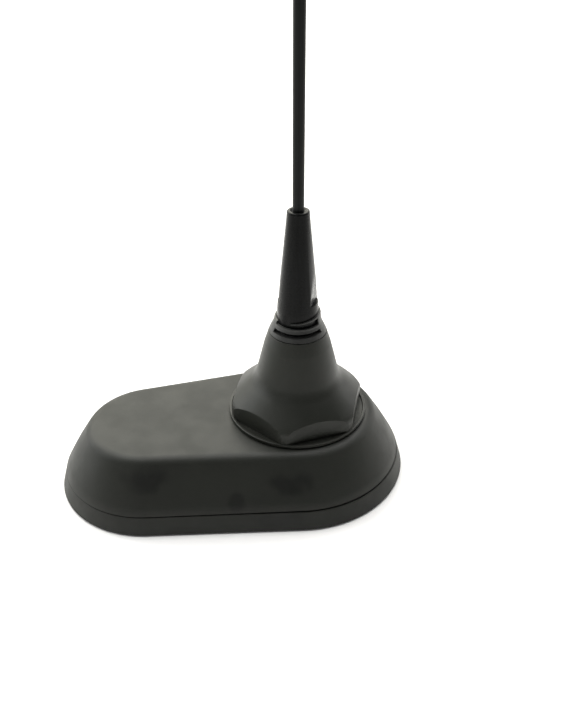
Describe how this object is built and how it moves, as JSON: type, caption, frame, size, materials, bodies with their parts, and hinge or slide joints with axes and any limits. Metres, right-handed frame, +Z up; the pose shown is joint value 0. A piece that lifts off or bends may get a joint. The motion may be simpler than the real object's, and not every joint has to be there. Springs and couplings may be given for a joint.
{
  "type": "magnet-base whip antenna",
  "caption": "Slim whip in a tapered ferrule, screwed into a flared hexagon nut on a low oblong magnet base with a cable outlet; outdoor antenna of a signal booster.",
  "frame": {"origin": "on the whip's axis, in the plane of the rubber sole that the base stands on", "axes": "+Z up along the whip; -X from the whip towards the base's narrower tail; +Y towards the long side with the cable outlet"},
  "size_m": [0.1157, 0.0722, 0.268],
  "materials": {
    "cover_plastic": "fine matte moulding texture",
    "tray_plastic": "fine matte moulding texture",
    "sole_rubber": "matte",
    "seal_rubber": "matte",
    "nut_plastic": "satin moulding texture",
    "collar_rubber": "satin",
    "black_metal": "semi-gloss black",
    "rod_coating": "satin black coating on spring steel",
    "tip_rubber": "satin",
    "steel": "zinc plated",
    "magnet": "ground ferrite",
    "brass": "turned",
    "board": "solder-masked laminate",
    "copper": "enamelled copper wire",
    "nylon": "natural nylon",
    "chip_ceramic": "chip capacitor body",
    "grommet_rubber": "satin"
  },
  "bodies": {
    "base": {"base_cover": "cover_plastic", "base_tray": "tray_plastic", "sole_pad": "sole_rubber", "cover_seal": "seal_rubber", "cover_screws": "steel", "front_pole_cup": "steel", "tail_pole_cup": "steel", "front_magnet": "magnet", "tail_magnet": "magnet", "ground_plate": "steel", "circuit_board": "board", "board_spacers": "brass", "board_screws": "steel", "matching_coil": "copper", "tuning_capacitors": "chip_ceramic", "cable_grommet": "grommet_rubber", "cable_clamp": "steel", "clamp_screws": "steel", "antenna_boss": "brass", "boss_seal": "seal_rubber", "boss_ring_nut": "brass", "boss_insulator": "nylon", "centre_contact": "brass", "contact_spring": "steel"},
    "plunger": {"contact_plunger": "brass"},
    "gasket": {"boot_gasket": "seal_rubber"},
    "nut": {"nut_boot": "nut_plastic", "nut_insert": "brass", "coil_former": "nylon", "loading_coil": "copper", "contact_button": "brass", "whip_stud": "steel", "slotted_collar": "collar_rubber"},
    "washer": {"ferrule_washer": "nylon"},
    "whip": {"whip_ferrule": "black_metal", "whip_rod": "rod_coating", "whip_tip": "tip_rubber"}
  },
  "joints": [
    {"name": "plunger_press", "type": "slide", "parent": "base", "child": "plunger", "axis": [0, 0, 1], "range_m": [-0.0008, 0], "stiffness_N_per_m": 400, "springref_m": 0.0012, "deforming": ["contact_spring"]},
    {"name": "nut_lift", "type": "slide", "parent": "base", "child": "gasket", "axis": [0, 0, 1], "range_m": [0, 0.005]},
    {"name": "nut_turn", "type": "hinge", "parent": "gasket", "child": "nut", "pos_m": [0, 0, 0.028], "axis": [0, 0, 1], "range_deg": [0, 1800]},
    {"name": "whip_lift", "type": "slide", "parent": "nut", "child": "washer", "axis": [0, 0, 1], "range_m": [0, 0.004]},
    {"name": "whip_turn", "type": "hinge", "parent": "washer", "child": "whip", "pos_m": [0, 0, 0.054], "axis": [0, 0, 1], "range_deg": [0, 1800]}
  ],
  "couplings": [
    {"joint": "nut_lift", "follows": "nut_turn", "m_per_rad": 0.00015915},
    {"joint": "whip_turn", "follows": "whip_lift", "rad_per_m": 7854}
  ]
}
